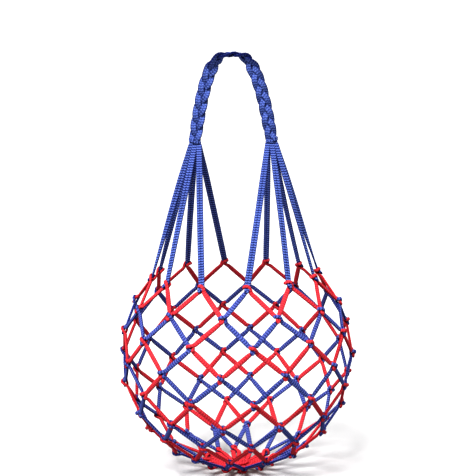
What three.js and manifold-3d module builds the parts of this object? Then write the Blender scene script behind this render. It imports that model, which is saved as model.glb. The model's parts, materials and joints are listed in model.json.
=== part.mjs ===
// A mesh ball bag: a hand-knotted net of two twines, twelve doubled straps and a plaited carrying handle.
// The net keeps the round shape that a size 7 basketball gives it, and the ball itself is left out.
// Millimetres, +Z up, +X along the handle's span, -Y towards the front. The origin is under the base knot.
import * as THREE from 'three';
import { mergeVertices } from 'three/addons/utils/BufferGeometryUtils.js';
import Module from 'manifold-3d';

const wasm = await Module();
wasm.setup();

// ---- driving dimensions ----
const BALL_RADIUS = 121.5; // a size 7 basketball
const BALL_CENTRE_Z = 130;
const CLEARANCE = 0.35; // between neighbouring pieces
const COLUMNS = 12;
const FIRST_COLUMN = 7.5; // degrees from the front, towards +X
const ROW_LATITUDES = [43.9, 27.8, 14.2, 0.8, -12.2, -25.6, -39, -54.6, -72.8]; // degrees, mouth to base

const TWINE_RADIUS = 2.2;
const TWINE_SIDES = 5;
// Each knot is two bends of twine that hook through each other, measured from the knot's centre.
const BEND_RADIUS = 1.3; // the twine where it is pulled tight in a bend
const SHOULDER_RADIUS = 1.5; // the twine where it enters a knot
const SHOULDER_EAST = 3.4;
const SHOULDER_NORTH = 1.5;
const BEND_NORTH = 3.8;
const HOOK_LIFT = 2.5; // one side of a bend passes over its neighbour, the other side under
const SEAM_START = { east: -4.6, north: -3.6 }; // where a twine leaves its upper row at the seam

const BASE_LOOP_REACH = 10.3; // radius of the ring that the lowest loops make
const BASE_LOOP_HALF_WIDTH = 1.35;
const BASE_LOOP_TIP_HALF_WIDTH = 1.215;
const BASE_LOOP_LENGTH = 3;
const BASE_LOOP_RADIUS = 1.1;
const BASE_LOOP_Z = 4.7;
const BASE_KNOT_RADIUS = 12.4;
const BASE_KNOT_FOOT = 9; // radius of its flat underside
const BASE_KNOT_NECK = 8.6;
const BASE_KNOT_LIP = 1.8; // thickness of its rims at the edge
const TAIL_START = 7;
const TAIL_REACH = 24;
const TAIL_RADIUS = 1.5;
const TAIL_DIRECTION = 22.5; // degrees from the front, towards +X

const GATHER_HALF_SPAN = 41;
const GATHER_Z = BALL_CENTRE_Z + 232;
const GATHER_WRAP_HEIGHT = 7;
const GATHER_INNER = { x: 6.3, y: 4.7 }; // half sizes of the space inside the wrap
const GATHER_WALL = 1.3;
const GATHER_CURVE_SEGMENTS = 8;
const HINGE_Z = GATHER_Z - GATHER_WRAP_HEIGHT / 2 - 1; // the bag swings 1 mm under the gather wraps

const HANDLE_RISE = 91.2; // from the gathers to the top of the arch
const HANDLE_TOP_HALF_SPAN = 26; // the legs come together from the gathers to this
const HANDLE_POWER = 3.3; // exponent of the arch's outline
const HANDLE_POINTS = 120;
const HANDLE_LENGTH_DIVISIONS = 2000; // for even steps along the arch
const PLAIT_PERIODS = 5;
const PLAIT_STEPS = 48;
const PLAIT_TURN_SPREAD = 0.11; // the plait turns edge-on over this share of its length each side of the top
const PLAIT_SWING = 5.5; // sideways travel of a strand
const PLAIT_LIFT = 2.5; // how far a strand rises and sinks at the crossings
const STRAND_HALF_WIDTH = 2.3;
const STRAND_HALF_THICKNESS = 1.25;
const PLAIT_END_SCALE = 0.6; // how much narrower the plait is inside a gather
const PLAIT_END_SHARE = 0.09; // share of its length over which it narrows
const SEAT_DEPTH = 2.6; // the flat seat under the top of the arch, below its middle line
const SEAT_SIZE = 11;

const CORD_HALF_WIDTH = 1.55; // a strap is one flat cord, doubled
const CORD_HALF_THICKNESS = 1.15;
const CORD_SIDES = 6;
const CORD_PITCH = 3.5; // between the two cords of a strap
const STRAP_TOP_PITCH = { x: 4.4, y: 3.8 };
const STRAP_TOP_SCALE = 0.6;
const STRAP_SPREAD_SHARE = 0.3; // share of a strap's length over which its cords reach their pitch
const STRAP_FLARE = { east: 2.4, north: 9 }; // where a strap's cords part to pass round their knot
const FACING_LIMIT = 0.2; // a mouth knot whose east has less X than this faces sideways

const NET_RADIUS = BALL_RADIUS + CLEARANCE + TWINE_RADIUS;
const KNOT_RADIUS = BALL_RADIUS + CLEARANCE + HOOK_LIFT + SHOULDER_RADIUS;

// ---- colours ----
const BLUE = 0x2c3fa8;
const RED = 0xd3262b;
const ROUGHNESS = 0.75;

function cordMaterial(colour) {
  return new THREE.MeshStandardMaterial({ color: colour, roughness: ROUGHNESS, metalness: 0 });
}

// ---- solids ----
const MERGE_DISTANCE = 1e-4;

function toSolid(geometry) {
  const plain = geometry.clone();
  plain.deleteAttribute('normal');
  plain.deleteAttribute('uv');
  const merged = mergeVertices(plain, MERGE_DISTANCE);
  const vertProperties = new Float32Array(merged.attributes.position.array);
  const triVerts = new Uint32Array(merged.index.array);
  return new wasm.Manifold(new wasm.Mesh({ numProp: 3, vertProperties, triVerts }));
}

function toGeometry(solid) {
  const mesh = solid.getMesh();
  const geometry = new THREE.BufferGeometry();
  geometry.setAttribute('position', new THREE.BufferAttribute(new Float32Array(mesh.vertProperties), 3));
  geometry.setIndex(new THREE.BufferAttribute(new Uint32Array(mesh.triVerts), 1));
  geometry.computeVertexNormals();
  return geometry;
}

// A path for ExtrudeGeometry that passes through given stations. Each station has a point and the two
// vectors that carry the section's x and y, so a swept piece can turn and taper on its way.
class StationPath extends THREE.Curve {
  constructor(stations) {
    super();
    this.stations = stations;
  }

  getPoint(t, target = new THREE.Vector3()) {
    const last = this.stations.length - 1;
    const index = Math.min(Math.floor(t * last), last - 1);
    return target.lerpVectors(this.stations[index].point, this.stations[index + 1].point, t * last - index);
  }

  getSpacedPoints() {
    return this.stations.map((station) => station.point);
  }

  computeFrenetFrames() {
    return {
      tangents: this.stations.map((station) => station.across.clone().cross(station.up).normalize()),
      normals: this.stations.map((station) => station.across),
      binormals: this.stations.map((station) => station.up),
    };
  }
}

function sweep(section, stations) {
  const path = new StationPath(stations);
  const steps = stations.length - 1;
  return new THREE.ExtrudeGeometry(section, { steps, extrudePath: path, bevelEnabled: false });
}

function polygonSection(sides, radius) {
  const corners = [];
  for (let i = 0; i < sides; i += 1) {
    const angle = (2 * Math.PI * i) / sides;
    corners.push(new THREE.Vector2(radius * Math.cos(angle), radius * Math.sin(angle)));
  }
  return new THREE.Shape(corners);
}

// Stations along a line of points, each with the half sizes of the section there. The section's x turns
// towards the direction that `facing` gives at that point.
function stationsAlong(points, sizes, facing) {
  return points.map((point, i) => {
    const before = points[Math.max(i - 1, 0)];
    const after = points[Math.min(i + 1, points.length - 1)];
    const tangent = after.clone().sub(before).normalize();
    const across = facing(point, i).clone();
    across.addScaledVector(tangent, -across.dot(tangent)).normalize();
    const up = tangent.clone().cross(across);
    return { point, across: across.multiplyScalar(sizes[i].x), up: up.multiplyScalar(sizes[i].y) };
  });
}

// ---- places on the ball ----
const CENTRE = new THREE.Vector3(0, 0, BALL_CENTRE_Z);

function outFromBall(point) {
  return point.clone().sub(CENTRE).normalize();
}

function columnAzimuth(column) {
  return THREE.MathUtils.degToRad(FIRST_COLUMN + (360 / COLUMNS) * column);
}

// Directions at an azimuth and latitude: out of the ball, east and north.
function ballFrame(azimuth, latitude) {
  const out = new THREE.Vector3(
    Math.cos(latitude) * Math.sin(azimuth),
    -Math.cos(latitude) * Math.cos(azimuth),
    Math.sin(latitude),
  );
  const east = new THREE.Vector3(Math.cos(azimuth), Math.sin(azimuth), 0);
  const north = out.clone().cross(east);
  return { out, east, north };
}

function knotPlace(row, column) {
  const frame = ballFrame(columnAzimuth(column), THREE.MathUtils.degToRad(ROW_LATITUDES[row]));
  return { ...frame, centre: CENTRE.clone().addScaledVector(frame.out, KNOT_RADIUS) };
}

function beside(place, east, north, lift) {
  const point = place.centre.clone().addScaledVector(place.east, east);
  return point.addScaledVector(place.north, north).addScaledVector(place.out, lift);
}

// ---- net ----
// One length of twine is a list of [point, radius].
function lowerBend(place) {
  return [
    [beside(place, -SHOULDER_EAST, SHOULDER_NORTH, -HOOK_LIFT), SHOULDER_RADIUS],
    [beside(place, 0, -BEND_NORTH, 0), BEND_RADIUS],
    [beside(place, SHOULDER_EAST, SHOULDER_NORTH, HOOK_LIFT), SHOULDER_RADIUS],
  ];
}

function upperBend(place) {
  return [
    [beside(place, -SHOULDER_EAST, -SHOULDER_NORTH, HOOK_LIFT), SHOULDER_RADIUS],
    [beside(place, 0, BEND_NORTH, 0), BEND_RADIUS],
    [beside(place, SHOULDER_EAST, -SHOULDER_NORTH, -HOOK_LIFT), SHOULDER_RADIUS],
  ];
}

// The middle of a leg between two knots, resting on the ball.
function crown([start], [end]) {
  const middle = start.clone().add(end).multiplyScalar(0.5);
  return [outFromBall(middle).multiplyScalar(NET_RADIUS).add(CENTRE), TWINE_RADIUS];
}

// Adds a bend to a length of twine, with the leg that leads to it.
function runTo(twine, bend) {
  if (twine.length > 0) {
    twine.push(crown(twine[twine.length - 1], bend[0]));
  }
  twine.push(...bend);
}

// The twine's way from the row above down to the first knot of its own row.
function seamStart(row) {
  if (row === 0) {
    return [];
  }
  const above = knotPlace(row - 1, -(row - 1) / 2);
  return [[beside(above, SEAM_START.east, SEAM_START.north, 0), SHOULDER_RADIUS]];
}

function twineSolid(twine) {
  const points = twine.map(([point]) => point);
  const sizes = twine.map(([, radius]) => ({ x: radius, y: radius }));
  return toSolid(sweep(polygonSection(TWINE_SIDES, 1), stationsAlong(points, sizes, outFromBall)));
}

// Row `row` of knots and the twine that zigzags from it down to the next row. The lower bends are made
// by `bottomBend`, which takes the column.
function netRow(row, bottomBend) {
  const first = -row / 2;
  const twine = seamStart(row);
  for (let i = 0; i < COLUMNS; i += 1) {
    const top = upperBend(knotPlace(row, first + i));
    runTo(twine, i === 0 ? top.slice(1) : top);
    runTo(twine, bottomBend(first + i + 0.5));
  }
  return twine;
}

function middleRow(row) {
  return twineSolid(netRow(row, (column) => lowerBend(knotPlace(row + 1, column))));
}

// A loop of the lowest row, which ends beside the neck of the base knot.
function baseLoop(column) {
  const azimuth = columnAzimuth(column);
  const inwards = new THREE.Vector3(-Math.sin(azimuth), Math.cos(azimuth), 0);
  const east = new THREE.Vector3(Math.cos(azimuth), Math.sin(azimuth), 0);
  const at = (side, outwards) => {
    const point = new THREE.Vector3(0, 0, BASE_LOOP_Z).addScaledVector(inwards, -BASE_LOOP_REACH - outwards);
    return [point.addScaledVector(east, side), BASE_LOOP_RADIUS];
  };
  return [
    at(-BASE_LOOP_HALF_WIDTH, BASE_LOOP_LENGTH),
    at(-BASE_LOOP_TIP_HALF_WIDTH, 0),
    at(BASE_LOOP_TIP_HALF_WIDTH, 0),
    at(BASE_LOOP_HALF_WIDTH, BASE_LOOP_LENGTH),
  ];
}

// The lowest row comes back to its first knot, and stops just short of it.
function baseRow() {
  const row = ROW_LATITUDES.length - 1;
  const twine = netRow(row, baseLoop);
  const end = [beside(knotPlace(row, -row / 2), SEAM_START.east, SEAM_START.north, 0), SHOULDER_RADIUS];
  twine.push(crown(twine[twine.length - 1], end), end);
  return twineSolid(twine);
}

// A round knot with a neck between two rims. The lowest loops of the net are held round its neck.
function baseKnot() {
  const slot = BASE_LOOP_RADIUS + CLEARANCE;
  const low = BASE_LOOP_Z - slot;
  const high = BASE_LOOP_Z + slot;
  const top = BALL_CENTRE_Z - BALL_RADIUS - CLEARANCE;
  const profile = [
    [0, 0], [BASE_KNOT_FOOT, 0], [BASE_KNOT_RADIUS, low - BASE_KNOT_LIP], [BASE_KNOT_RADIUS, low],
    [BASE_KNOT_NECK, low], [BASE_KNOT_NECK, high], [BASE_KNOT_RADIUS, high], [BASE_KNOT_FOOT, top], [0, top],
  ];
  const knot = new THREE.LatheGeometry(profile.map(([x, y]) => new THREE.Vector2(x, y)), COLUMNS);
  knot.rotateX(Math.PI / 2);
  const angle = THREE.MathUtils.degToRad(TAIL_DIRECTION);
  const direction = new THREE.Vector3(Math.sin(angle), -Math.cos(angle), 0);
  const points = [TAIL_START, TAIL_REACH].map((reach) => direction.clone().multiplyScalar(reach));
  points.forEach((point) => point.setZ(TAIL_RADIUS));
  const size = { x: TAIL_RADIUS, y: TAIL_RADIUS };
  const stations = stationsAlong(points, [size, size], () => new THREE.Vector3(0, 0, 1));
  return toSolid(knot).add(toSolid(sweep(polygonSection(TWINE_SIDES, 1), stations)));
}

// ---- straps ----
// `order` runs 0 to 5 from the front of the bag round to the back, on the side given by `side`.
function strap(side, order) {
  const place = knotPlace(0, side > 0 ? order : -1 - order);
  const front = order < COLUMNS / 4;
  const outwards = front ? order : COLUMNS / 2 - 1 - order;
  const top = new THREE.Vector3(
    side * (GATHER_HALF_SPAN + STRAP_TOP_PITCH.x * (outwards - 1)),
    STRAP_TOP_PITCH.y * (front ? -0.5 : 0.5),
    HINGE_Z - CLEARANCE,
  );
  const flare = beside(place, 0, STRAP_FLARE.north, 0);
  // The cord on the knot's west side comes from the gather's side that lies that way.
  const isSideways = Math.abs(place.east.x) < FACING_LIMIT;
  const turn = isSideways ? side * Math.sign(place.out.x) : Math.sign(place.east.x);
  const topAcross = new THREE.Vector3(turn, 0, 0);
  const cord = (hand) => {
    const start = top.clone().addScaledVector(topAcross, (hand * STRAP_TOP_PITCH.x) / 4);
    const end = flare.clone().addScaledVector(place.east, hand * STRAP_FLARE.east);
    const across = topAcross.clone().lerp(place.east, STRAP_SPREAD_SHARE).normalize();
    const spread = top.clone().lerp(flare, STRAP_SPREAD_SHARE);
    return [start, spread.addScaledVector(across, (hand * CORD_PITCH) / 2), end];
  };
  const full = { x: CORD_HALF_WIDTH, y: CORD_HALF_THICKNESS };
  const narrow = { x: CORD_HALF_WIDTH * STRAP_TOP_SCALE, y: CORD_HALF_THICKNESS };
  const bent = { x: BEND_RADIUS, y: BEND_RADIUS };
  const bend = lowerBend(place).map(([point]) => point);
  const points = [...cord(-1), ...bend, ...cord(1).reverse()];
  const sizes = [narrow, full, full, bent, bent, bent, full, full, narrow];
  const last = points.length - 1;
  const middle = last / 2;
  // The wide side of the cord turns from east through north to west as the cord goes round its bend.
  const facing = (point, i) => {
    if (i === middle) {
      return place.north;
    }
    const direction = i === 0 || i === last ? topAcross : place.east;
    return i > middle ? direction.clone().negate() : direction;
  };
  return toSolid(sweep(polygonSection(CORD_SIDES, 1), stationsAlong(points, sizes, facing)));
}

// ---- handle ----
// The plait's middle line from left to right: half of a superellipse whose legs come together upwards.
function archCurve() {
  const points = [];
  for (let i = 0; i <= HANDLE_POINTS; i += 1) {
    const angle = Math.PI * (1 - i / HANDLE_POINTS);
    const c = Math.cos(angle);
    const s = Math.sin(angle);
    const power = 2 / HANDLE_POWER;
    const height = Math.abs(s) ** power;
    const halfSpan = THREE.MathUtils.lerp(GATHER_HALF_SPAN, HANDLE_TOP_HALF_SPAN, height);
    const x = halfSpan * Math.sign(c) * Math.abs(c) ** power;
    points.push(new THREE.Vector3(x, 0, GATHER_Z + HANDLE_RISE * height));
  }
  return new THREE.CatmullRomCurve3(points);
}

// 0 inside a gather and 1 along the rest of the plait.
function endBlend(u) {
  return THREE.MathUtils.smoothstep(Math.min(u, 1 - u), 0, PLAIT_END_SHARE);
}

function strandCentre(arch, index, u) {
  const point = arch.getPointAt(u);
  const tangent = arch.getTangentAt(u);
  const across = new THREE.Vector3(0, 1, 0).cross(tangent);
  const turn = (Math.PI / 2) * Math.exp(-(((u - 0.5) / PLAIT_TURN_SPREAD) ** 2));
  const width = across.multiplyScalar(Math.cos(turn)).add(new THREE.Vector3(0, Math.sin(turn), 0));
  const thickness = tangent.clone().cross(width);
  const phase = 2 * Math.PI * (PLAIT_PERIODS * u + index / 3);
  const scale = THREE.MathUtils.lerp(PLAIT_END_SCALE, 1, endBlend(u));
  point.addScaledVector(width, PLAIT_SWING * scale * Math.sin(phase));
  point.addScaledVector(thickness, -PLAIT_LIFT * Math.sin(2 * phase));
  return { point, width, scale };
}

function braidStrand(index) {
  const arch = archCurve();
  arch.arcLengthDivisions = HANDLE_LENGTH_DIVISIONS;
  const centres = [];
  for (let i = 0; i <= PLAIT_STEPS; i += 1) {
    centres.push(strandCentre(arch, index, i / PLAIT_STEPS));
  }
  const points = centres.map(({ point }) => point);
  const sizes = centres.map(({ scale }) => ({ x: STRAND_HALF_WIDTH * scale, y: STRAND_HALF_THICKNESS }));
  const stations = stationsAlong(points, sizes, (point, i) => centres[i].width);
  const seat = new THREE.BoxGeometry(SEAT_SIZE, 4 * SEAT_SIZE, SEAT_SIZE);
  seat.translate(0, 0, GATHER_Z + HANDLE_RISE - SEAT_DEPTH - SEAT_SIZE / 2);
  return toSolid(sweep(polygonSection(CORD_SIDES, 1), stations)).subtract(toSolid(seat));
}

function gatherWrap(side) {
  const ring = new THREE.Shape();
  ring.absellipse(0, 0, GATHER_INNER.x + GATHER_WALL, GATHER_INNER.y + GATHER_WALL, 0, 2 * Math.PI);
  const inside = new THREE.Path();
  inside.absellipse(0, 0, GATHER_INNER.x, GATHER_INNER.y, 0, 2 * Math.PI);
  ring.holes.push(inside);
  const geometry = new THREE.ExtrudeGeometry(ring, {
    depth: GATHER_WRAP_HEIGHT,
    bevelEnabled: false,
    curveSegments: GATHER_CURVE_SEGMENTS,
  });
  geometry.translate(side * GATHER_HALF_SPAN, 0, GATHER_Z - GATHER_WRAP_HEIGHT / 2);
  return toSolid(geometry);
}

// ---- the object ----
const bag = new THREE.Group();

function addPiece(name, solid, colour) {
  const mesh = new THREE.Mesh(toGeometry(solid), cordMaterial(colour));
  mesh.name = name;
  bag.add(mesh);
}

for (let i = 0; i < 3; i += 1) {
  addPiece(`braid_strand_${i + 1}`, braidStrand(i), BLUE);
}
for (const [sideName, side] of [['left', -1], ['right', 1]]) {
  addPiece(`gather_wrap_${sideName}`, gatherWrap(side), BLUE);
  for (let order = 0; order < COLUMNS / 2; order += 1) {
    addPiece(`strap_${sideName}_${order + 1}`, strap(side, order), BLUE);
  }
}
for (let row = 0; row < ROW_LATITUDES.length - 1; row += 1) {
  const isRed = row % 2 === 0;
  addPiece(`net_row_${row + 1}_${isRed ? 'red' : 'blue'}`, middleRow(row), isRed ? RED : BLUE);
}
addPiece(`net_row_${ROW_LATITUDES.length}_red`, baseRow(), RED);
addPiece('base_knot', baseKnot(), RED);

export default bag;
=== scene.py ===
"""A mesh ball bag: a knotted net of red and blue twine, doubled cord straps and a plaited handle.

The cords are swept tubes with their weave in the mesh, built in millimetres in the CAD model's frame
and turned into metres when a mesh is made.
"""
import json
import math

import bpy
import numpy as np
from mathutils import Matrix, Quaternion, Vector


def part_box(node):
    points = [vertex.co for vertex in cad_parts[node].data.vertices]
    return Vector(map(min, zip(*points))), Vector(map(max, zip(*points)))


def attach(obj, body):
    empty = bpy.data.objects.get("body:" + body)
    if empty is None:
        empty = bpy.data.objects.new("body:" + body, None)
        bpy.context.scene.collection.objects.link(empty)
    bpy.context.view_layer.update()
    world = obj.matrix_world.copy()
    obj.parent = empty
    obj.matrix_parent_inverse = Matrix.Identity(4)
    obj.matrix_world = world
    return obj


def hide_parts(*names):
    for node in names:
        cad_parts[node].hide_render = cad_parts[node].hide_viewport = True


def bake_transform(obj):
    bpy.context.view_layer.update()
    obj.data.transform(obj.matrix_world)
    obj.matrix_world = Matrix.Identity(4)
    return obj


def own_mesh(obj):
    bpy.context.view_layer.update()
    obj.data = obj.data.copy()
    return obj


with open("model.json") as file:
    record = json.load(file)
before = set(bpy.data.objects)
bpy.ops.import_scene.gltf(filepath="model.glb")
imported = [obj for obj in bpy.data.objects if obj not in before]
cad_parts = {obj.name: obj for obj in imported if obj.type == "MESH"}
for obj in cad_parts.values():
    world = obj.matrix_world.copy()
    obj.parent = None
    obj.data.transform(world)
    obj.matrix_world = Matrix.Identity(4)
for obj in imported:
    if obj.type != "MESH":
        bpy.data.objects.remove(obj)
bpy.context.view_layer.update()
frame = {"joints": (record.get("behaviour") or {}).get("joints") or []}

MM = 0.001
TURN = 2 * math.pi
UP = np.array([0.0, 0.0, 1.0])
EAST = np.array([1.0, 0.0, 0.0])
SWING = next(joint for joint in frame["joints"] if joint["name"] == "bag_swing")

# ---- sizes shared with the CAD model, in millimetres and degrees ----
BALL_RADIUS = 121.5
BALL_CENTRE = np.array([0.0, 0.0, 130.0])
KNOT_RADIUS = 125.85
COLUMNS = 12
FIRST_COLUMN = 7.5
ROW_LATITUDES = [43.9, 27.8, 14.2, 0.8, -12.2, -25.6, -39.0, -54.6, -72.8]
ARCH_POWER = 3.3
ARCH_TOP_HALF_SPAN = 26.0
PLAIT_PERIODS = 5

# ---- twine and cord, in millimetres ----
NET_STEP = 0.45
NET_SIDES = 16
LEG_HALF_WIDTH = 2.7
LEG_HALF_THICKNESS = 1.5
WRAP_HALF_WIDTH = 1.85
WRAP_HALF_THICKNESS = 1.35
BIGHT_HALF_WIDTH = 1.55
BIGHT_HALF_THICKNESS = 1.4
CORD_HALF_WIDTH = 1.8
CORD_HALF_THICKNESS = 1.1
CORD_STEP = 0.42
CORD_SIDES = 16
RIB_PITCH = 2.85
RIB_SLANT = 0.28  # how far a rib is led along the cord at its edges, as a share of the pitch
SEAM_WIDTH = 0.16  # of the groove where the chevrons meet, as a share of the half width
SEAM_DEPTH = 1.3  # as a share of the ribs' depth
RED_TWINE_RELIEF = 0.09
BLUE_TWINE_RELIEF = 0.13
BIGHT_RELIEF = 0.1
CORD_RELIEF = 0.11
END_TAPER = 0.9  # a cord narrows over this length at each end
END_SHARE = 0.12  # the very end keeps the square root of this share of its size
SPLINE_SAMPLES = 12
OUTWARDS = (0.0, 0.0, 1.0)

# A crown colour is the cord's own colour. A groove colour is painted shade, laid in the rib grooves, along
# the cords' edges and, darker still, in the creases.
BLUE_CROWN = (0.165, 0.255, 0.78)
BLUE_GROOVE_SHADE = (0.0012, 0.004, 0.12)
TWINE_BLUE_CROWN = (0.142, 0.188, 0.64)
RED_CROWN = (1.0, 0.06, 0.085)
RED_GROOVE_SHADE = (0.38, 0.003, 0.008)
CREASE_REACH = 3.0 * MM  # how far a crease is shaded by its surroundings


def centre_of(node):
    """Middle of a CAD node's box, in millimetres."""
    low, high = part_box(node)
    return np.array((low + high) / 2) / MM


def unit(vectors):
    """Vectors scaled to length 1, along the last axis."""
    return vectors / np.linalg.norm(vectors, axis=-1, keepdims=True)


def smoothstep(low, high, value):
    """0 below low, 1 above high, and smooth between them."""
    t = np.clip((value - low) / (high - low), 0, 1)
    return t * t * (3 - 2 * t)


# ---- paths ----
def spline(points, values, step):
    """Catmull-Rom curve through points, cut into even steps: returns points and the values along it."""
    points = np.asarray(points, float)
    values = np.asarray(values, float)
    keep = np.r_[True, np.linalg.norm(np.diff(points, axis=0), axis=1) > 1e-6]
    points, values = points[keep], values[keep]
    p = np.vstack([2 * points[0] - points[1], points, 2 * points[-1] - points[-2]])
    knots = np.r_[0, np.cumsum(np.sqrt(np.linalg.norm(np.diff(p, axis=0), axis=1)))]
    dense, dense_values = [], []
    for i in range(1, len(p) - 2):
        t0, t1, t2, t3 = knots[i - 1:i + 3]
        t = np.linspace(t1, t2, SPLINE_SAMPLES, endpoint=False)[:, None]
        a1 = (t1 - t) / (t1 - t0) * p[i - 1] + (t - t0) / (t1 - t0) * p[i]
        a2 = (t2 - t) / (t2 - t1) * p[i] + (t - t1) / (t2 - t1) * p[i + 1]
        a3 = (t3 - t) / (t3 - t2) * p[i + 1] + (t - t2) / (t3 - t2) * p[i + 2]
        b1 = (t2 - t) / (t2 - t0) * a1 + (t - t0) / (t2 - t0) * a2
        b2 = (t3 - t) / (t3 - t1) * a2 + (t - t1) / (t3 - t1) * a3
        dense.append((t2 - t) / (t2 - t1) * b1 + (t - t1) / (t2 - t1) * b2)
        share = (t - t1) / (t2 - t1)
        dense_values.append(values[i - 1] + (values[i] - values[i - 1]) * share)
    dense = np.vstack(dense + [points[-1:]])
    dense_values = np.vstack(dense_values + [values[-1:]])
    return even_steps(dense, dense_values, step)


def even_steps(points, values, step):
    """A polyline and the columns of values along it, sampled again at even steps."""
    length = np.r_[0, np.cumsum(np.linalg.norm(np.diff(points, axis=0), axis=1))]
    count = max(int(round(length[-1] / step)), 2)
    at = np.linspace(0, length[-1], count + 1)
    sampled = np.column_stack([np.interp(at, length, column) for column in points.T])
    return sampled, np.column_stack([np.interp(at, length, column) for column in values.T])


def tangents(path):
    """Unit direction at each point of a path."""
    return unit(np.gradient(path, axis=0))


def guided_frames(path, guide):
    """Section directions whose x follows the guide vectors given for each point."""
    along = tangents(path)
    across = unit(guide - np.sum(guide * along, axis=1, keepdims=True) * along)
    return across, np.cross(along, across)


# ---- weave in the mesh ----
def ribbed(depth):
    """Relief of a flat cord: ribs that meet in a chevron along the middle of each face."""
    def relief(s, angle):
        side = np.abs(np.cos(angle))
        ribs = np.cos(TURN * (s[:, None] / RIB_PITCH + RIB_SLANT * side))
        groove = np.exp(-(side / SEAM_WIDTH) ** 2)
        return depth * (ribs - SEAM_DEPTH * groove)
    return relief


class Cords:
    """Collects swept cords and makes one mesh of them."""

    def __init__(self):
        self.vertices = []
        self.faces = []
        self.ways = []
        self.edges = []
        self.count = 0

    def add(self, path, across, up, half_width, half_thickness, relief, sides, lane=(0.0, 1.0)):
        """One closed tube along path. The half sizes are numbers or one value for each point.

        A lane is where a cord lies in a flat bundle: its offset and half width as shares of the bundle's.
        """
        rings = len(path)
        angle = TURN * np.arange(sides) / sides
        s = np.r_[0, np.cumsum(np.linalg.norm(np.diff(path, axis=0), axis=1))]
        bump = relief(s, angle[None, :])
        ends = np.minimum(s, s[-1] - s)
        taper = np.sqrt(np.clip(ends / END_TAPER, END_SHARE, 1))[:, None]
        width = (np.broadcast_to(half_width, rings)[:, None] + bump) * taper
        thickness = (np.broadcast_to(half_thickness, rings)[:, None] + bump) * taper
        x = (width * np.cos(angle))[:, :, None]
        y = (thickness * np.sin(angle))[:, :, None]
        points = path[:, None, :] + x * across[:, None, :] + y * up[:, None, :]
        self.vertices.append(points.reshape(-1, 3))
        way = np.empty((rings, sides, 3))
        way[:, :, 0] = np.cos(angle)
        way[:, :, 1] = np.sin(angle)
        way[:, :, 2] = s[:, None]
        self.ways.append(way.reshape(-1, 3))
        # How far out each point lies across its bundle, 1 at the outer edges: the mask for the painted shade
        # along the edges.
        self.edges.append(np.tile(np.abs(lane[0] + lane[1] * np.cos(angle)), rings))
        ring = np.arange(rings - 1)[:, None] * sides
        here = np.arange(sides)[None, :]
        after = (here + 1) % sides
        quads = np.stack([ring + here, ring + after, ring + sides + after, ring + sides + here], axis=-1)
        self.faces.append(quads.reshape(-1, 4) + self.count)
        first = self.count + np.arange(sides)[::-1]
        last = self.count + (rings - 1) * sides + np.arange(sides)
        self.faces.extend([first[None, :], last[None, :]])
        self.count += rings * sides

    def laid(self, twine, relief, step=NET_STEP, sides=NET_SIDES):
        """A flat twine whose wide side faces the normals given at its control points."""
        path, values = spline(twine.points, np.column_stack([twine.sizes, twine.normals]), step)
        across, up = guided_frames(path, np.cross(tangents(path), values[:, 2:]))
        self.add(path, across, up, values[:, 0], values[:, 1], relief, sides)

    def make(self, name, material, node=None):
        """The collected cords as one object, in place of a CAD node where one is named."""
        vertices = np.vstack(self.vertices) * MM
        faces = [row for block in self.faces for row in block.tolist()]
        mesh = bpy.data.meshes.new(name)
        mesh.from_pydata(vertices.tolist(), [], faces)
        mesh.polygons.foreach_set("use_smooth", [True] * len(mesh.polygons))
        way = mesh.attributes.new("cord_way", "FLOAT_VECTOR", "POINT")
        way.data.foreach_set("vector", np.vstack(self.ways).astype(np.float32).ravel())
        # The painted edge shade's mask, read by the cord materials.
        edge = mesh.attributes.new("cord_edge_shade", "FLOAT", "POINT")
        edge.data.foreach_set("value", np.concatenate(self.edges).astype(np.float32))
        mesh.materials.append(material)
        mesh.update()
        obj = bpy.data.objects.new(name, mesh)
        bpy.context.collection.objects.link(obj)
        if node:
            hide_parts(node)
        return obj


# ---- materials ----
class Nodes:
    """Small helpers to build a material's node tree."""

    def __init__(self, name):
        self.material = bpy.data.materials.new(name)
        self.material.use_nodes = True
        self.tree = self.material.node_tree
        self.shader = self.tree.nodes["Principled BSDF"]

    def link(self, value, socket):
        """Connects an output, or sets a plain value."""
        if isinstance(value, bpy.types.NodeSocket):
            self.tree.links.new(value, socket)
        else:
            socket.default_value = value

    def math(self, operation, a, b=0.0):
        node = self.tree.nodes.new("ShaderNodeMath")
        node.operation = operation
        self.link(a, node.inputs[0])
        self.link(b, node.inputs[1])
        return node.outputs[0]

    def noise(self, vector, scale, detail=3.0, roughness=0.55):
        node = self.tree.nodes.new("ShaderNodeTexNoise")
        self.link(vector, node.inputs["Vector"])
        node.inputs["Scale"].default_value = scale
        node.inputs["Detail"].default_value = detail
        node.inputs["Roughness"].default_value = roughness
        return node.outputs["Fac"]

    def ramp(self, value, low, high, to_low=0.0, to_high=1.0):
        node = self.tree.nodes.new("ShaderNodeMapRange")
        self.link(value, node.inputs["Value"])
        node.inputs["From Min"].default_value = low
        node.inputs["From Max"].default_value = high
        node.inputs["To Min"].default_value = to_low
        node.inputs["To Max"].default_value = to_high
        return node.outputs["Result"]

    def mix(self, factor, a, b):
        node = self.tree.nodes.new("ShaderNodeMix")
        node.data_type = "RGBA"
        self.link(factor, node.inputs["Factor"])
        self.link(a if isinstance(a, bpy.types.NodeSocket) else (*a, 1.0), node.inputs["A"])
        self.link(b if isinstance(b, bpy.types.NodeSocket) else (*b, 1.0), node.inputs["B"])
        return node.outputs["Result"]

    def combine(self, x, y, z):
        node = self.tree.nodes.new("ShaderNodeCombineXYZ")
        for value, socket in zip((x, y, z), node.inputs):
            self.link(value, socket)
        return node.outputs[0]


def cord_way(nodes):
    """(cosine, sine, way along the cord in millimetres) from the mesh attribute."""
    attribute = nodes.tree.nodes.new("ShaderNodeAttribute")
    attribute.attribute_name = "cord_way"
    split = nodes.tree.nodes.new("ShaderNodeSeparateXYZ")
    nodes.tree.links.new(attribute.outputs["Vector"], split.inputs[0])
    return split.outputs


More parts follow.
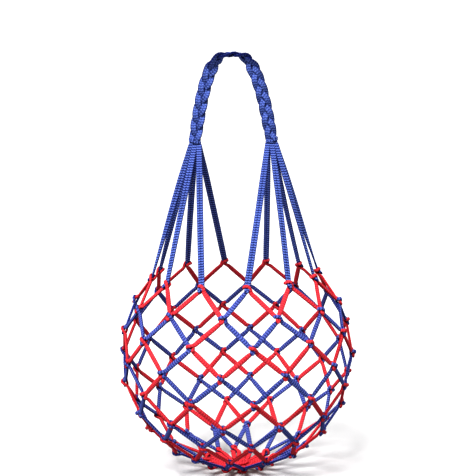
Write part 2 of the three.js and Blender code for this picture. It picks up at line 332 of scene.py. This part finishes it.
def rib_height(nodes, c, way):
    """The flat cord's chevron ribs, 0 in the grooves and 1 on the crowns."""
    side = nodes.math("ABSOLUTE", c)
    phase = nodes.math("ADD", nodes.math("DIVIDE", way, RIB_PITCH), nodes.math("MULTIPLY", side, RIB_SLANT))
    ribs = nodes.math("COSINE", nodes.math("MULTIPLY", phase, TURN))
    return nodes.ramp(ribs, -1, 1)


YARNS_AROUND = 6.0
YARNS_ALONG = 1.4
YARN_SCALE = 1.3
DYE_SCALE = 38.0
DYE_STRENGTH = 0.3
PALE_GAIN = 1.5
PALE_LIFT = 0.04
WEAR_AND_HIGHLIGHT = 0.8  # how far the yarns on the crowns go to the pale colour: wear, and a painted highlight on the crowns
# How strongly the creases that an occlusion test finds are darkened: painted shade.
CREASE_SHADE_STRENGTH = 0.9
CREASE_SHADE_DEPTH = 0.3  # the colour of the painted shade in a deep crease, as a share of the groove's
GLOSS_SPREAD = 0.08
BUMP_HEIGHT = 0.15 * MM
BUMP_STRENGTH = 0.8
YARN_BUMP = 0.8  # the yarns' height beside the ribs' height


def cord_material(name, crown, groove, contrast, gloss, edge_shade_start):
    """Woven polyester: ribs across the cord, fine yarns and uneven dye, with painted shade in the rib
    grooves, along the cords' edges and in the creases, and paler crowns from wear and a painted highlight.
    """
    nodes = Nodes(name)
    c, s, way = cord_way(nodes)
    weave = rib_height(nodes, c, way)
    position = nodes.tree.nodes.new("ShaderNodeNewGeometry").outputs["Position"]
    yarn_space = nodes.combine(nodes.math("MULTIPLY", c, YARNS_AROUND),
                               nodes.math("MULTIPLY", s, YARNS_AROUND),
                               nodes.math("MULTIPLY", way, YARNS_ALONG))
    yarn = nodes.noise(yarn_space, YARN_SCALE, 4.0)
    dye = nodes.noise(position, DYE_SCALE, 2.0)
    # Painted shade in the rib grooves: the colour goes from the crown's towards the dark groove's as the
    # ribs go down, as far as contrast says.
    depth = nodes.ramp(weave, 0.3, 0.7, contrast, 0.0)
    body = nodes.mix(depth, crown, groove)
    uneven = nodes.mix(nodes.ramp(dye, 0.35, 0.7, 0.0, DYE_STRENGTH), body, groove)
    # Paler yarns on the rib crowns: wear, and a painted highlight where the crowns catch the light.
    pale = tuple(min(1.0, channel * PALE_GAIN + PALE_LIFT) for channel in crown)
    wear_and_highlight = nodes.math("MULTIPLY", nodes.ramp(yarn, 0.45, 0.7, 0.0, WEAR_AND_HIGHLIGHT), weave)
    worn_and_highlit = nodes.mix(wear_and_highlight, uneven, pale)
    # Painted shade: where an occlusion test finds the cord closed in by others, its colour goes towards a
    # deeper groove colour.
    shade = nodes.tree.nodes.new("ShaderNodeAmbientOcclusion")
    shade.inputs["Distance"].default_value = CREASE_REACH
    shade.samples = 8
    crease = nodes.ramp(shade.outputs["AO"], 0.25, 0.75, CREASE_SHADE_STRENGTH, 0.0)
    # Painted shade along the cords' edges, and in the plait along each bundle's outer edges where the crease
    # lines fall: the colour goes to the groove's.
    attribute = nodes.tree.nodes.new("ShaderNodeAttribute")
    attribute.attribute_name = "cord_edge_shade"
    edge = nodes.ramp(attribute.outputs["Fac"], edge_shade_start, 1.0, 0.0, 1.0)
    edge_shaded = nodes.mix(edge, worn_and_highlit, groove)
    deep = tuple(CREASE_SHADE_DEPTH * channel for channel in groove)
    nodes.link(nodes.mix(crease, edge_shaded, deep), nodes.shader.inputs["Base Color"])
    roughness = nodes.ramp(yarn, 0.3, 0.7, gloss + GLOSS_SPREAD, gloss - GLOSS_SPREAD)
    nodes.link(roughness, nodes.shader.inputs["Roughness"])
    nodes.shader.inputs["Specular IOR Level"].default_value = 0.05
    nodes.shader.inputs["Sheen Weight"].default_value = 0.01
    nodes.shader.inputs["Sheen Roughness"].default_value = 0.4
    nodes.shader.inputs["Sheen Tint"].default_value = (*pale, 1.0)
    bump = nodes.tree.nodes.new("ShaderNodeBump")
    bump.inputs["Strength"].default_value = BUMP_STRENGTH
    bump.inputs["Distance"].default_value = BUMP_HEIGHT
    nodes.link(nodes.math("ADD", weave, nodes.math("MULTIPLY", yarn, YARN_BUMP)), bump.inputs["Height"])
    nodes.link(bump.outputs["Normal"], nodes.shader.inputs["Normal"])
    return nodes.material


# ---- places on the ball ----
KNOT_LEAN = 9  # degrees, either way
KNOT_SHIFT = 0.7  # millimetres, either way


def knot_place(row, column):
    """Where a knot sits: its centre and its east, north and outward directions."""
    azimuth = math.radians(FIRST_COLUMN + 360 / COLUMNS * column)
    latitude = math.radians(ROW_LATITUDES[row])
    out = np.array([math.cos(latitude) * math.sin(azimuth),
                    -math.cos(latitude) * math.cos(azimuth),
                    math.sin(latitude)])
    east = np.array([math.cos(azimuth), math.sin(azimuth), 0.0])
    north = np.cross(out, east)
    jitter = np.random.default_rng(1000 * row + int(round(2 * column)) % (2 * COLUMNS))
    lean = math.radians(jitter.uniform(-KNOT_LEAN, KNOT_LEAN))
    shift = jitter.uniform(-KNOT_SHIFT, KNOT_SHIFT, 2)
    centre = BALL_CENTRE + KNOT_RADIUS * out + shift[0] * east + shift[1] * north
    leaned_east = math.cos(lean) * east + math.sin(lean) * north
    leaned_north = math.cos(lean) * north - math.sin(lean) * east
    return {"centre": centre, "east": leaned_east, "north": leaned_north, "out": out}


def around(place, points):
    """Points given as (east, north, out) beside a knot."""
    points = np.asarray(points, float)
    axes = np.array([place["east"], place["north"], place["out"]])
    return place["centre"] + points @ axes


def towards(place, other):
    """Unit direction from one knot to another as (east, north) beside the first."""
    step = other["centre"] - place["centre"]
    return unit(np.array([step @ place["east"], step @ place["north"]]))


# A knot is a bight of the upper twine with the lower twine wrapped round it. Points are (east, north, out)
# from the knot's centre, each with the direction that the flat of the twine faces there.
EXIT_REACH = 5.6
EXIT_OUT = -1.6
EXIT_WIDTH_SHARE = 0.9
LEG_LIFT = 0.2  # between a leg and the ball
OUTER_SLOPE = 1.2  # north beside 0.5 east, for a leg that has no row of knots to go to
NECK_LEFT = [((-1.7, 3.4, 0.0), OUTWARDS), ((-1.6, -0.2, 0.8), OUTWARDS), ((-2.0, -2.6, 0.9), OUTWARDS)]
BIGHT_END = [((-0.9, -4.0, 0.8), OUTWARDS)]
NECK_RIGHT = [((0.3, -2.6, 0.9), OUTWARDS), ((1.2, -0.2, 0.8), OUTWARDS), ((1.7, 3.4, 0.0), OUTWARDS)]
WRAP_BEHIND = [((-0.9, -2.6, -2.2), OUTWARDS), ((1.2, 0.2, -2.5), OUTWARDS), ((0.9, 2.6, -2.4), OUTWARDS),
               ((-1.7, 3.4, -2.0), OUTWARDS)]
WRAP_FRONT = [((-3.4, 2.6, -0.4), (-1.0, 0.0, 0.3)), ((-2.4, 1.9, 2.2), (-0.5, 0.0, 0.8)),
              ((0.4, 1.2, 2.9), (0.0, 0.0, 1.0)), ((2.6, -0.7, 1.3), (0.35, 0.0, 0.9))]
SEAM_WRAP = [((1.5, 3.0, 1.6), OUTWARDS), ((-1.4, 2.0, 2.9), (-0.3, 0.0, 0.9)),
             ((-3.7, 1.0, 0.4), (-1.0, 0.0, 0.1)), ((-2.0, 0.2, -2.1), (-0.2, 0.0, -1.0)),
             ((1.4, 0.4, -2.4), (0.2, 0.0, -1.0)), ((3.7, 0.6, -0.4), (1.0, 0.0, 0.0)),
             ((3.5, -1.6, 1.0), (0.6, 0.0, 0.8))]
SEAM_FOOT = [((-0.7, -1.4, -1.8), OUTWARDS)]


class Twine:
    """The control points of one length of twine, with its half sizes and normals at each."""

    def __init__(self):
        self.points = []
        self.sizes = []
        self.normals = []

    def pass_through(self, point, size, normal):
        """Adds one point. A flat twine is the same turned half round, so the nearer normal is kept."""
        if self.normals and np.dot(self.normals[-1], normal) < 0:
            normal = -normal
        self.points.append(point)
        self.sizes.append(size)
        self.normals.append(normal)

    def tie(self, place, shape, size):
        """Adds a part of a knot, given beside the knot's centre."""
        axes = np.array([place["east"], place["north"], place["out"]])
        for point, normal in shape:
            self.pass_through(place["centre"] + np.array(point) @ axes, size, unit(np.array(normal) @ axes))

    def leave(self, place, direction, shift=(0.0, 0.0)):
        """Adds the point where a leg leaves or enters a knot in the direction of its neighbour."""
        east, north = np.array(direction) * EXIT_REACH + shift
        size = (EXIT_WIDTH_SHARE * LEG_HALF_WIDTH, LEG_HALF_THICKNESS)
        self.tie(place, [((east, north, EXIT_OUT), OUTWARDS)], size)

    def run(self, end):
        """Adds a straight leg on the ball from the last point to the place where the next knot begins."""
        start = self.points[-1]
        for share in (0.2, 0.5, 0.8):
            radial = start + (end - start) * share - BALL_CENTRE
            reach = max(np.linalg.norm(radial), BALL_RADIUS + LEG_HALF_THICKNESS + LEG_LIFT)
            out = unit(radial)
            self.pass_through(BALL_CENTRE + out * reach, (LEG_HALF_WIDTH, LEG_HALF_THICKNESS), out)


def leg_to(twine, place, direction, shift=(0.0, 0.0)):
    """A leg from the last knot to the edge of this one."""
    east, north = np.array(direction) * EXIT_REACH + shift
    twine.run(place["centre"] + east * place["east"] + north * place["north"] + EXIT_OUT * place["out"])
    twine.leave(place, direction, shift)


BIGHT_SIZE = (BIGHT_HALF_WIDTH, BIGHT_HALF_THICKNESS)
WRAP_SIZE = (WRAP_HALF_WIDTH, WRAP_HALF_THICKNESS)
DOT_SHIFT = (-0.6, -1.8)  # the left leg of a knot leaves from behind the bight, below the centre


def neighbour(row, column, up, right):
    """The direction from a knot to a neighbour in the row above or below."""
    place = knot_place(row, column)
    side = 0.5 if right else -0.5
    next_row = row - 1 if up else row + 1
    if 0 <= next_row < len(ROW_LATITUDES):
        return towards(place, knot_place(next_row, column + side))
    return np.array([side, OUTER_SLOPE if up else -OUTER_SLOPE])


def tie_wrap(twine, row, column):
    """The wrap of a knot, from its lower left leg round to its lower right leg."""
    place = knot_place(row, column)
    left = neighbour(row, column, False, False)
    if twine.points:
        leg_to(twine, place, left, DOT_SHIFT)
    twine.tie(place, WRAP_BEHIND + WRAP_FRONT, WRAP_SIZE)
    twine.leave(place, neighbour(row, column, False, True))


def tie_bight(twine, row, column, is_last):
    """The bight in a knot of the row below, from its upper left leg to its upper right leg."""
    place = knot_place(row, column)
    leg_to(twine, place, neighbour(row, column, True, False))
    shape = NECK_LEFT + BIGHT_END + NECK_RIGHT
    twine.tie(place, shape[:-1] if is_last else shape, BIGHT_SIZE)
    if not is_last:
        twine.leave(place, neighbour(row, column, True, True))


def net_row(row):
    """The twine of one row of knots, from its seam leg round to its last loop."""
    twine = Twine()
    first = -row / 2
    last_row = len(ROW_LATITUDES) - 1
    if row > 0:
        above = knot_place(row - 1, first + 0.5)
        twine.tie(above, SEAM_FOOT, WRAP_SIZE)
        twine.leave(above, neighbour(row - 1, first + 0.5, False, False), DOT_SHIFT)
    for i in range(COLUMNS):
        if i == 0 and row > 0:
            place = knot_place(row, first)
            leg_to(twine, place, neighbour(row, first, True, True))
            twine.tie(place, SEAM_WRAP, WRAP_SIZE)
            twine.leave(place, neighbour(row, first, False, True))
        else:
            tie_wrap(twine, row, first + i)
        if row < last_row:
            tie_bight(twine, row + 1, first + i + 0.5, i == COLUMNS - 1)
        else:
            tie_base_loop(twine, first + i + 0.5)
    if row == last_row:
        place = knot_place(row, first)
        leg_to(twine, place, neighbour(row, first, False, False), DOT_SHIFT)
        twine.tie(place, SEAM_FOOT, WRAP_SIZE)
    return twine


def row_name(row):
    return f"net_row_{row + 1}_{'red' if row % 2 == 0 else 'blue'}"


def make_net():
    """Nine rows of knotted twine, all riding on the net."""
    for row in range(len(ROW_LATITUDES)):
        red = row % 2 == 0
        cords = Cords()
        cords.laid(net_row(row), ribbed(RED_TWINE_RELIEF if red else BLUE_TWINE_RELIEF))
        piece = cords.make(row_name(row) + "_twine", RED_TWINE if red else BLUE_TWINE, row_name(row))
        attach(piece, "net")


# ---- base ----
BASE_LOOP_Z = 4.8
BASE_LOOP_REACH = 10.2
BASE_LOOP_SIZE = (1.5, 1.3)
# (sideways, outwards) from the loop's reach
BASE_LOOP_SHAPE = [(-1.9, 7.0), (-1.35, 2.5), (-0.8, 0.2), (0.0, -0.5), (0.8, 0.2), (1.35, 2.5), (1.9, 7.0)]
BASE_TWINE_RADIUS = 1.7
BASE_TURNS = 2.6
BASE_TURN_POINTS = 60
BASE_RIM_POINTS = 8
BASE_RIM_ANGLE = 0.9  # radians that the twine takes to climb over the loops
BASE_INNER_REACH = 2.0
BASE_OUTER_REACH = 10.4
BASE_RIM_REACH = 11.2
BASE_LOW_Z = BASE_TWINE_RADIUS + 0.1
BASE_HIGH_Z = 7.1
BASE_CENTRE_LOW = [0, 0, 2.6]
BASE_CENTRE_HIGH = [0, 0, 6.0]
BASE_KNOT_RADIUS = 12.4
BASE_TAIL_RADIUS = 1.55
# (outwards, height, sideways) along the tail
BASE_TAIL = [(9, 2.2, 0.0), (13, 1.9, 0.6), (18, 1.7, -0.6), (23, 2.1, 0.8)]


def tie_base_loop(twine, column):
    """A lowest loop, drawn in between the turns of the base knot."""
    azimuth = math.radians(FIRST_COLUMN + 360 / COLUMNS * column)
    out = np.array([math.sin(azimuth), -math.cos(azimuth), 0.0])
    east = np.array([math.cos(azimuth), math.sin(azimuth), 0.0])
    middle = UP * BASE_LOOP_Z
    points = [middle + out * (BASE_LOOP_REACH + reach) + east * side for side, reach in BASE_LOOP_SHAPE]
    twine.run(points[0])
    for point in points:
        twine.pass_through(point, BASE_LOOP_SIZE, UP)


def round_twine(cords, points, radius):
    """A round red twine through control points that lie nearly level."""
    twine = Twine()
    for point in points:
        twine.pass_through(point, (radius, radius), UP)
    cords.laid(twine, ribbed(RED_TWINE_RELIEF))


def round_the_axis(reach, angle, height):
    """Points at a reach and angle round the bag's upright axis."""
    return np.column_stack([reach * np.sin(angle), -reach * np.cos(angle), height])


def make_base_knot():
    """Turns of red twine laid flat above and below the lowest loops, and a short tail."""
    cords = Cords()
    angle = np.linspace(0, BASE_TURNS * TURN, BASE_TURN_POINTS)
    reach = BASE_INNER_REACH + (BASE_OUTER_REACH - BASE_INNER_REACH) * angle / angle[-1]
    low = round_the_axis(reach, angle, np.full(BASE_TURN_POINTS, BASE_LOW_Z))
    rim_angle = np.linspace(angle[-1], angle[-1] + BASE_RIM_ANGLE, BASE_RIM_POINTS)[1:]
    rise = np.linspace(BASE_LOW_Z, BASE_HIGH_Z, BASE_RIM_POINTS)[1:]
    rim = round_the_axis(BASE_RIM_REACH, rim_angle, rise)
    back = rim_angle[-1] + np.linspace(0, BASE_TURNS * TURN, BASE_TURN_POINTS)[1:]
    back_reach = np.linspace(BASE_OUTER_REACH, BASE_INNER_REACH, BASE_TURN_POINTS - 1)
    high = round_the_axis(back_reach, back, np.full(BASE_TURN_POINTS - 1, BASE_HIGH_Z))
    path = np.vstack([[BASE_CENTRE_LOW], low, rim, high, [BASE_CENTRE_HIGH]])
    round_twine(cords, path, BASE_TWINE_RADIUS)
    low_corner, high_corner = (np.array(corner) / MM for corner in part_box("base_knot"))
    direction = unit(np.array([high_corner[0] - BASE_KNOT_RADIUS, low_corner[1], 0.0]))
    side = np.cross(UP, direction)
    tail = [direction * outwards + UP * height + side * sideways for outwards, height, sideways in BASE_TAIL]
    round_twine(cords, tail, BASE_TAIL_RADIUS)
    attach(cords.make("base_knot_visual", RED_TWINE, "base_knot"), "net")


# ---- straps ----
HINGE = np.array(SWING["pos_m"]) / MM
STRAP_TOP_PITCH = (4.4, 3.8)
CORD_PITCH = 3.4
STRAP_TOP_PITCH_SHARE = 0.62  # of the cords' pitch, at the gather
STRAP_SPREAD_END = 0.22  # share of the way at which the cords reach their pitch
STRAP_FLARE_REACH = 6.5
STRAP_FLARE_SHARE = 0.96  # share of the way at which the straight part ends
STRAP_FOOT = (-0.1, 1.5, 0.5)  # between the feet of the two cords, beside the knot's centre
STRAP_FOOT_SPREAD = 1.5
STRAP_SHARES = (-0.01, 0.08, 0.25, 0.5, 0.75, 0.92, 1.0)  # control points, from the gather to the knot
STRAP_WANDER = 1.2
STRAP_WANDER_SHARE = 0.5
STRAP_SWAY = 0.35  # radians
FACING_LIMIT = 0.2  # a knot whose east has less X than this faces sideways


def strap_lines(side, order):
    """Control points of a strap's two cords, from the gather down to its knot, and their guides."""
    place = knot_place(0, order if side > 0 else -1 - order)
    front = order < COLUMNS / 4
    outwards = order if front else COLUMNS // 2 - 1 - order
    gather = centre_of("gather_wrap_left" if side < 0 else "gather_wrap_right")
    top = np.array([gather[0] + side * STRAP_TOP_PITCH[0] * (outwards - 1),
                    STRAP_TOP_PITCH[1] * (-0.5 if front else 0.5), HINGE[2]])
    east = place["east"]
    faces_along = abs(east[0]) > FACING_LIMIT
    turn = math.copysign(1, east[0]) if faces_along else side * math.copysign(1, place["out"][0])
    jitter = np.random.default_rng(71 + 10 * order + (1 if side > 0 else 0))
    wander = jitter.uniform(-STRAP_WANDER, STRAP_WANDER, (2, 3))[0]
    sway = jitter.uniform(-STRAP_SWAY, STRAP_SWAY)
    run = flare_middle(place, top) - top
    lines = []
    for hand in (-1, 1):
        points, guides = [], []
        for share in STRAP_SHARES:
            direction = unit((1 - share) * turn * EAST + share * east)
            swing = math.sin(math.pi * min(max(share, 0), 1))
            normal = unit(np.cross(run, direction))
            pair = math.cos(sway * swing) * direction + math.sin(sway * swing) * normal
            spread = float(smoothstep(0, STRAP_SPREAD_END, share))
            pitch = CORD_PITCH * (STRAP_TOP_PITCH_SHARE + (1 - STRAP_TOP_PITCH_SHARE) * spread)
            if share < 1.0:
                base = top + run * min(share / STRAP_FLARE_SHARE, 1)
                point = base + pair * hand * pitch / 2 + wander * swing * STRAP_WANDER_SHARE
            else:
                point = strap_foot(place, hand)
            points.append(point)
            guides.append(pair)
        lines.append((points, guides))
    return lines


def strap_foot(place, hand):
    """Where a strap's left or right cord meets its knot. A hand of 0 is the middle between them."""
    east, north, out = STRAP_FOOT
    return around(place, [(hand * STRAP_FOOT_SPREAD + east, north, out)])[0]


def flare_middle(place, top):
    """The point on a strap's straight way, above its knot, where its two cords come together."""
    foot = strap_foot(place, 0)
    return foot + STRAP_FLARE_REACH * unit(top - foot)


def flat_cord(cords, points, guides, half_width=CORD_HALF_WIDTH, half_thickness=CORD_HALF_THICKNESS):
    """A flat cord through control points, with its wide side along the guides."""
    path, guide = spline(points, guides, CORD_STEP)
    across, up = guided_frames(path, guide)
    cords.add(path, across, up, half_width, half_thickness, ribbed(CORD_RELIEF), CORD_SIDES)


def make_straps():
    """Twelve doubled cords, parented to the straps' body, and their bights in the knots."""
    bights = Cords()
    for side, side_name in ((-1, "left"), (1, "right")):
        for order in range(COLUMNS // 2):
            name = f"strap_{side_name}_{order + 1}"
            cords = Cords()
            for points, guides in strap_lines(side, order):
                flat_cord(cords, points, guides)
            piece = cords.make(name + "_cords", STRAP_CORD, name)
            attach(piece, "straps")
            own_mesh(piece)
            place = knot_place(0, order if side > 0 else -1 - order)
            bight = Twine()
            bight.tie(place, NECK_LEFT + BIGHT_END + NECK_RIGHT, BIGHT_SIZE)
            bights.laid(bight, ribbed(BIGHT_RELIEF))
    piece = bights.make("strap_bights", STRAP_CORD)
    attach(piece, "net")


# ---- handle ----
PLAIT_SWING = 3.9
PLAIT_SQUARENESS = 0.5  # how much longer a strand follows the plait's edge than a sine would
PLAIT_LIFT = 1.6
PLAIT_TURN_SPREAD = 0.11
PLAIT_END_SCALE = 0.86
PLAIT_CORD_PITCH = 3.2
PLAIT_CORD_HALF_WIDTH = 1.8
PLAIT_CORD_HALF_THICKNESS = 0.8
PLAIT_LAYER = 0.55  # a strand is two layers of two cords, this far from its middle
PLAIT_ROLL = math.radians(6)
PLAIT_RELIEF = 0.1
PLAIT_POINTS = int(240 / CORD_STEP)  # the middle line is 216 mm long, so its steps are a little finer
PLAIT_END_REACH = 0.09  # share of the plait over which its ends widen
STRAND_OVER_ARCH = 3.4  # the highest strand's top lies this far over the plait's middle line
ARCH_SAMPLES = 2000


def arch_path(count):
    """The plait's middle line, from the left gather to the right gather, in even steps."""
    left, right = centre_of("gather_wrap_left"), centre_of("gather_wrap_right")
    half_span = (right[0] - left[0]) / 2
    strand_tops = [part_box(f"braid_strand_{i}")[1].z / MM for i in (1, 2, 3)]
    rise = max(strand_tops) - STRAND_OVER_ARCH - left[2]
    angle = np.linspace(math.pi, 0, ARCH_SAMPLES)
    power = 2 / ARCH_POWER
    height = np.abs(np.sin(angle)) ** power
    leg = half_span + (ARCH_TOP_HALF_SPAN - half_span) * height
    x = leg * np.sign(np.cos(angle)) * np.abs(np.cos(angle)) ** power
    z = left[2] + rise * height
    dense = np.column_stack([x, np.zeros_like(x), z])
    length = np.r_[0, np.cumsum(np.linalg.norm(np.diff(dense, axis=0), axis=1))]
    path, _ = even_steps(dense, dense, length[-1] / count)
    return path


def make_plait():
    """Three flat strands of four cords, plaited. The plait is turned by a quarter at the top of the arch."""
    middle = arch_path(PLAIT_POINTS)
    u = np.linspace(0, 1, len(middle))
    along = tangents(middle)
    in_plane = unit(np.cross([0.0, 1.0, 0.0], along))
    turn = (math.pi / 2 * np.exp(-((u - 0.5) / PLAIT_TURN_SPREAD) ** 2))[:, None]
    width = np.cos(turn) * in_plane + np.sin(turn) * np.array([0.0, 1.0, 0.0])
    thickness = np.cross(along, width)
    ends = smoothstep(0, PLAIT_END_REACH, np.minimum(u, 1 - u))
    narrow = (PLAIT_END_SCALE + (1 - PLAIT_END_SCALE) * ends)[:, None]
    for strand in range(3):
        phase = (TURN * (PLAIT_PERIODS * u + strand / 3))[:, None]
        across_share = np.sin(phase) * (1 + PLAIT_SQUARENESS) / (1 + PLAIT_SQUARENESS * np.sin(phase) ** 2)
        sideways = PLAIT_SWING * across_share * narrow
        lift = -PLAIT_LIFT * np.sin(2 * phase)
        centre = middle + width * sideways + thickness * lift
        roll = -PLAIT_ROLL * np.cos(phase)
        flat = np.cos(roll) * width + np.sin(roll) * thickness
        way = tangents(centre)
        flat = unit(flat - np.sum(flat * way, axis=1, keepdims=True) * way)
        cords = Cords()
        bundle_half = PLAIT_CORD_PITCH / 2 + PLAIT_CORD_HALF_WIDTH
        for hand in (-1, 1):
            for layer in (-1, 1):
                offset = hand * PLAIT_CORD_PITCH / 2
                path = centre + flat * offset * narrow + np.cross(way, flat) * layer * PLAIT_LAYER
                path, guide = even_steps(path, flat, CORD_STEP)
                across, up = guided_frames(path, guide)
                lane = (offset / bundle_half, PLAIT_CORD_HALF_WIDTH / bundle_half)
                cords.add(path, across, up, PLAIT_CORD_HALF_WIDTH, PLAIT_CORD_HALF_THICKNESS,
                          ribbed(PLAIT_RELIEF), CORD_SIDES, lane)
        node = f"braid_strand_{strand + 1}"
        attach(cords.make(node + "_cords", PLAIT_CORD, node), "handle")


# ---- gathers ----
GATHER_TURNS = 1.35
GATHER_POINTS = 70
GATHER_REACH = (6.1, 4.3)
GATHER_CLIMB = 1.3
GATHER_TILT = 1.6
GATHER_TUCK = 0.25  # how far the ends of the turn are drawn in, as a share of its reach
GATHER_TUCK_ANGLE = 0.5
GATHER_CORD_SIZE = (1.1, 0.6)
BUNDLE_CORD_SIZE = (1.25, 0.8)
BUNDLE_DRAW = np.array([0.8, 0.8, 0])  # the cords are drawn together inside the gather
BUNDLE_TOP = 2.5
BUNDLE_MIDDLE_SHARE = 0.35
BUNDLE_MIDDLE_RISE = 1.0
BUNDLE_LEAD = 4.0  # how far the cords follow the straps


def make_gather_wrap(side, node, centre):
    """The turn of cord that closes one end of the plait."""
    angle = np.linspace(0, GATHER_TURNS * TURN, GATHER_POINTS)
    tuck = 1 - smoothstep(0, GATHER_TUCK_ANGLE, np.minimum(angle, angle[-1] - angle))
    shrink = 1 - GATHER_TUCK * tuck
    height = np.linspace(GATHER_CLIMB, -GATHER_CLIMB, GATHER_POINTS)
    tilt = GATHER_TILT * np.sin(angle)
    x = GATHER_REACH[0] * np.sin(angle) * shrink * side
    y = -GATHER_REACH[1] * np.cos(angle) * shrink
    path = centre + np.column_stack([x, y, height + tilt])
    cords = Cords()
    flat_cord(cords, path, np.tile(UP, (GATHER_POINTS, 1)), *GATHER_CORD_SIZE)
    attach(cords.make(node + "_cord", WRAP_CORD, node), "handle")


def make_gather_cords(side, side_name, centre):
    """The strap cords that pass through a gather. They bend there between the handle and the straps."""
    bundle = Cords()
    for order in range(COLUMNS // 2):
        for points, guides in strap_lines(side, order):
            start = np.array(points[0])
            way = unit(np.array(points[1]) - start)
            inside = centre + (start - centre) * BUNDLE_DRAW + UP * BUNDLE_TOP
            between = inside * BUNDLE_MIDDLE_SHARE + start * (1 - BUNDLE_MIDDLE_SHARE)
            middle = between + UP * BUNDLE_MIDDLE_RISE
            route = [inside, middle, start, start + way * BUNDLE_LEAD]
            flat_cord(bundle, route, [guides[0]] * len(route), *BUNDLE_CORD_SIZE)
    piece = bundle.make(f"gather_cords_{side_name}", STRAP_CORD)
    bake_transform(piece)


def make_gathers():
    """Both gathers, each with its turn of cord and the cords that pass through it."""
    for side, side_name in ((-1, "left"), (1, "right")):
        node = f"gather_wrap_{side_name}"
        centre = centre_of(node)
        make_gather_wrap(side, node, centre)
        make_gather_cords(side, side_name, centre)


# ---- studio ----
CAMERA_DISTANCE = 1484
CAMERA_ELEVATION = 13  # degrees
CAMERA_AIM = 4.85  # degrees above the ball's centre
CAMERA_LENS = 102.4
CAMERA_SENSOR = 36
CAMERA_FAR = 20  # metres
CAMERA_ROLL = 1.0  # degrees
FLOOR_HALF_SIZE = 30.0  # metres
FLOOR_DROP = 0.0004  # metres under the bag
FLOOR_ROUGHNESS = 0.9
FLOOR_SEEN = (0.95, 0.95, 0.95)
FLOOR_BOUNCE = (0.22, 0.22, 0.22)
SKY_STRENGTH = 0.24
VIEW_GAMMA = 0.85  # below 1 deepens the shadows
VIEW_EXPOSURE = 0.25  # stops
# name, direction towards the light, spread in degrees, strength
SUNS = [("key", (-0.45, -0.75, 1.15), 30, 3.6), ("rim", (0.9, 0.2, 0.8), 40, 0.6)]


def make_floor():
    """A pale floor. The camera sees it lighter than it lights the bag from below."""
    mesh = bpy.data.meshes.new("floor")
    size = FLOOR_HALF_SIZE
    corners = [(-size, -size), (size, -size), (size, size), (-size, size)]
    mesh.from_pydata([(x, y, -FLOOR_DROP) for x, y in corners], [], [(0, 1, 2, 3)])
    floor = bpy.data.objects.new("floor", mesh)
    bpy.context.collection.objects.link(floor)
    nodes = Nodes("pale_floor")
    seen = nodes.tree.nodes.new("ShaderNodeLightPath").outputs["Is Camera Ray"]
    nodes.link(nodes.mix(seen, FLOOR_BOUNCE, FLOOR_SEEN), nodes.shader.inputs["Base Color"])
    nodes.shader.inputs["Roughness"].default_value = FLOOR_ROUGHNESS
    nodes.shader.inputs["Specular IOR Level"].default_value = 0.0
    mesh.materials.append(nodes.material)


def make_lights():
    """A white sky, dimmer as a light than the camera sees it, and two soft suns."""
    world = bpy.data.worlds.new("studio")
    world.use_nodes = True
    tree = world.node_tree
    seen = tree.nodes.new("ShaderNodeLightPath").outputs["Is Camera Ray"]
    brightness = tree.nodes.new("ShaderNodeMapRange")
    tree.links.new(seen, brightness.inputs["Value"])
    brightness.inputs["To Min"].default_value = SKY_STRENGTH
    brightness.inputs["To Max"].default_value = 1.0
    tree.links.new(brightness.outputs["Result"], tree.nodes["Background"].inputs["Strength"])
    tree.nodes["Background"].inputs["Color"].default_value = (1, 1, 1, 1)
    bpy.context.scene.world = world
    for name, direction, spread, strength in SUNS:
        data = bpy.data.lights.new(name, "SUN")
        data.angle = math.radians(spread)
        data.energy = strength
        light = bpy.data.objects.new(name, data)
        light.rotation_euler = Vector(direction).to_track_quat("Z", "Y").to_euler()
        bpy.context.collection.objects.link(light)


def make_camera():
    """The camera in front of the bag, and the view's contrast."""
    elevation = math.radians(CAMERA_ELEVATION)
    back = np.array([0, -math.cos(elevation), math.sin(elevation)])
    camera = bpy.data.objects.new("camera", bpy.data.cameras.new("camera"))
    camera.location = tuple((BALL_CENTRE + back * CAMERA_DISTANCE) * MM)
    aim = math.radians(CAMERA_ELEVATION - CAMERA_AIM)
    forward = Vector((0, math.cos(aim), -math.sin(aim)))
    # The roll would carry the ball sideways, so the aim turns back by the same amount.
    pan = math.radians(CAMERA_AIM * math.sin(math.radians(CAMERA_ROLL)))
    forward.rotate(Quaternion((0, 0, 1), -pan))
    aimed = forward.to_track_quat("-Z", "Y") @ Quaternion((0, 0, 1), math.radians(-CAMERA_ROLL))
    camera.rotation_euler = aimed.to_euler()
    camera.data.lens = CAMERA_LENS
    camera.data.sensor_width = CAMERA_SENSOR
    camera.data.clip_end = CAMERA_FAR
    bpy.context.collection.objects.link(camera)
    scene = bpy.context.scene
    scene.camera = camera
    scene.view_settings.view_transform = "Standard"
    scene.view_settings.gamma = VIEW_GAMMA
    scene.view_settings.exposure = VIEW_EXPOSURE


# ---- the bag ----
# contrast is how far the rib grooves go to the painted groove shade; the last number is where the painted
# shade along a cord's edges begins.
STRAP_CORD = cord_material("strap_cord", BLUE_CROWN, BLUE_GROOVE_SHADE, contrast=0.94, gloss=0.58, edge_shade_start=0.7)
PLAIT_CORD = cord_material("plait_cord", BLUE_CROWN, BLUE_GROOVE_SHADE, contrast=0.55, gloss=0.58, edge_shade_start=0.58)
WRAP_CORD = cord_material("wrap_cord", BLUE_CROWN, BLUE_GROOVE_SHADE, contrast=0.85, gloss=0.58, edge_shade_start=0.8)
BLUE_TWINE = cord_material("blue_twine", TWINE_BLUE_CROWN, BLUE_GROOVE_SHADE,
                           contrast=0.72, gloss=0.6, edge_shade_start=0.8)
RED_TWINE = cord_material("red_twine", RED_CROWN, RED_GROOVE_SHADE, contrast=0.38, gloss=0.55, edge_shade_start=0.85)

make_net()
make_base_knot()
make_straps()
make_plait()
make_gathers()
make_floor()
make_lights()
make_camera()
